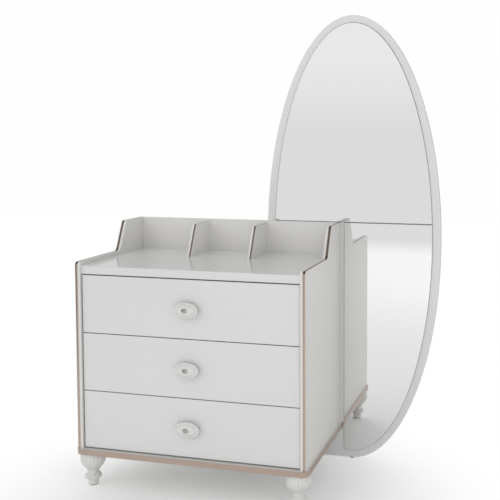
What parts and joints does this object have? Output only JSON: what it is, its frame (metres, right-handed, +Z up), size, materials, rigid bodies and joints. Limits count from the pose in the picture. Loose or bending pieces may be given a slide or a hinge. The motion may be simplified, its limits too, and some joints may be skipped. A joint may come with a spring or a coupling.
{
  "type": "dresser with mirror",
  "caption": "White dresser with stacked drawers, a divided gallery along its top, turned front feet and a tall oval floor-length mirror fixed behind its right-hand end.",
  "frame": {"origin": "bottom centre of the bounding box of the whole object, on the floor", "axes": "+Z up, -Y out of the drawer fronts, +X to the right as seen from the front, towards the mirror"},
  "size_m": [1.257, 0.561, 1.74],
  "materials": {
    "white_lacquer": "satin white lacquer on board",
    "gloss_lacquer": "high-gloss white lacquer on board",
    "rose_metal": "rose-gold metallic edging",
    "white_melamine": "white melamine on board",
    "hardboard": "white-faced hardboard, brown rear",
    "knob_white": "glossy white",
    "knob_boss_metal": "polished rose gold",
    "runner_steel": "zinc-plated steel",
    "fitting_steel": "zinc-plated",
    "beech": "plain beech",
    "glide_plastic": "black",
    "mirror_glass": "silvered glass, polished edge"
  },
  "bodies": {
    "case": {"back_panel": "hardboard", "base_edge_band": "rose_metal", "base_slab": "white_lacquer", "cam_bolts": "fitting_steel", "cam_discs": "fitting_steel", "divider_inlays": "rose_metal", "dowels": "beech", "floor_glides": "glide_plastic", "foot_bolts": "fitting_steel", "foot_front_left": "white_lacquer", "foot_front_right": "white_lacquer", "foot_inserts": "fitting_steel", "foot_rear_left": "white_lacquer", "foot_rear_right": "white_lacquer", "gallery_back": "white_lacquer", "gallery_divider_left": "white_lacquer", "gallery_divider_right": "white_lacquer", "mirror_board": "white_lacquer", "mirror_glass_lower": "mirror_glass", "mirror_glass_upper": "mirror_glass", "mirror_screws": "fitting_steel", "runner_screws": "fitting_steel", "side_inlay_left": "rose_metal", "side_inlay_right": "rose_metal", "side_panel_left": "white_lacquer", "side_panel_right": "white_lacquer", "top_panel": "gloss_lacquer", "lower_runner_case_rails": "runner_steel", "centre_runner_case_rails": "runner_steel", "upper_runner_case_rails": "runner_steel"},
    "lower_drawer": {"lower_drawer_back": "white_melamine", "lower_drawer_bottom": "hardboard", "lower_drawer_fittings": "fitting_steel", "lower_drawer_front": "gloss_lacquer", "lower_drawer_knob": "knob_white", "lower_drawer_knob_boss": "knob_boss_metal", "lower_drawer_side_left": "white_melamine", "lower_drawer_side_right": "white_melamine", "lower_runner_drawer_rails": "runner_steel"},
    "lower_middle_rails": {"lower_runner_middle_rails": "runner_steel"},
    "centre_drawer": {"centre_drawer_back": "white_melamine", "centre_drawer_bottom": "hardboard", "centre_drawer_fittings": "fitting_steel", "centre_drawer_front": "gloss_lacquer", "centre_drawer_knob": "knob_white", "centre_drawer_knob_boss": "knob_boss_metal", "centre_drawer_side_left": "white_melamine", "centre_drawer_side_right": "white_melamine", "centre_runner_drawer_rails": "runner_steel"},
    "centre_middle_rails": {"centre_runner_middle_rails": "runner_steel"},
    "upper_drawer": {"upper_drawer_back": "white_melamine", "upper_drawer_bottom": "hardboard", "upper_drawer_fittings": "fitting_steel", "upper_drawer_front": "gloss_lacquer", "upper_drawer_knob": "knob_white", "upper_drawer_knob_boss": "knob_boss_metal", "upper_drawer_side_left": "white_melamine", "upper_drawer_side_right": "white_melamine", "upper_runner_drawer_rails": "runner_steel"},
    "upper_middle_rails": {"upper_runner_middle_rails": "runner_steel"}
  },
  "joints": [
    {"name": "lower_drawer_slide", "type": "slide", "parent": "case", "child": "lower_drawer", "axis": [0, -1, 0], "range_m": [0, 0.4]},
    {"name": "lower_middle_rail_slide", "type": "slide", "parent": "case", "child": "lower_middle_rails", "axis": [0, -1, 0], "range_m": [0, 0.2]},
    {"name": "centre_drawer_slide", "type": "slide", "parent": "case", "child": "centre_drawer", "axis": [0, -1, 0], "range_m": [0, 0.4]},
    {"name": "centre_middle_rail_slide", "type": "slide", "parent": "case", "child": "centre_middle_rails", "axis": [0, -1, 0], "range_m": [0, 0.2]},
    {"name": "upper_drawer_slide", "type": "slide", "parent": "case", "child": "upper_drawer", "axis": [0, -1, 0], "range_m": [0, 0.4]},
    {"name": "upper_middle_rail_slide", "type": "slide", "parent": "case", "child": "upper_middle_rails", "axis": [0, -1, 0], "range_m": [0, 0.2]}
  ],
  "couplings": [
    {"joint": "lower_middle_rail_slide", "follows": "lower_drawer_slide", "ratio": 0.5},
    {"joint": "centre_middle_rail_slide", "follows": "centre_drawer_slide", "ratio": 0.5},
    {"joint": "upper_middle_rail_slide", "follows": "upper_drawer_slide", "ratio": 0.5}
  ]
}
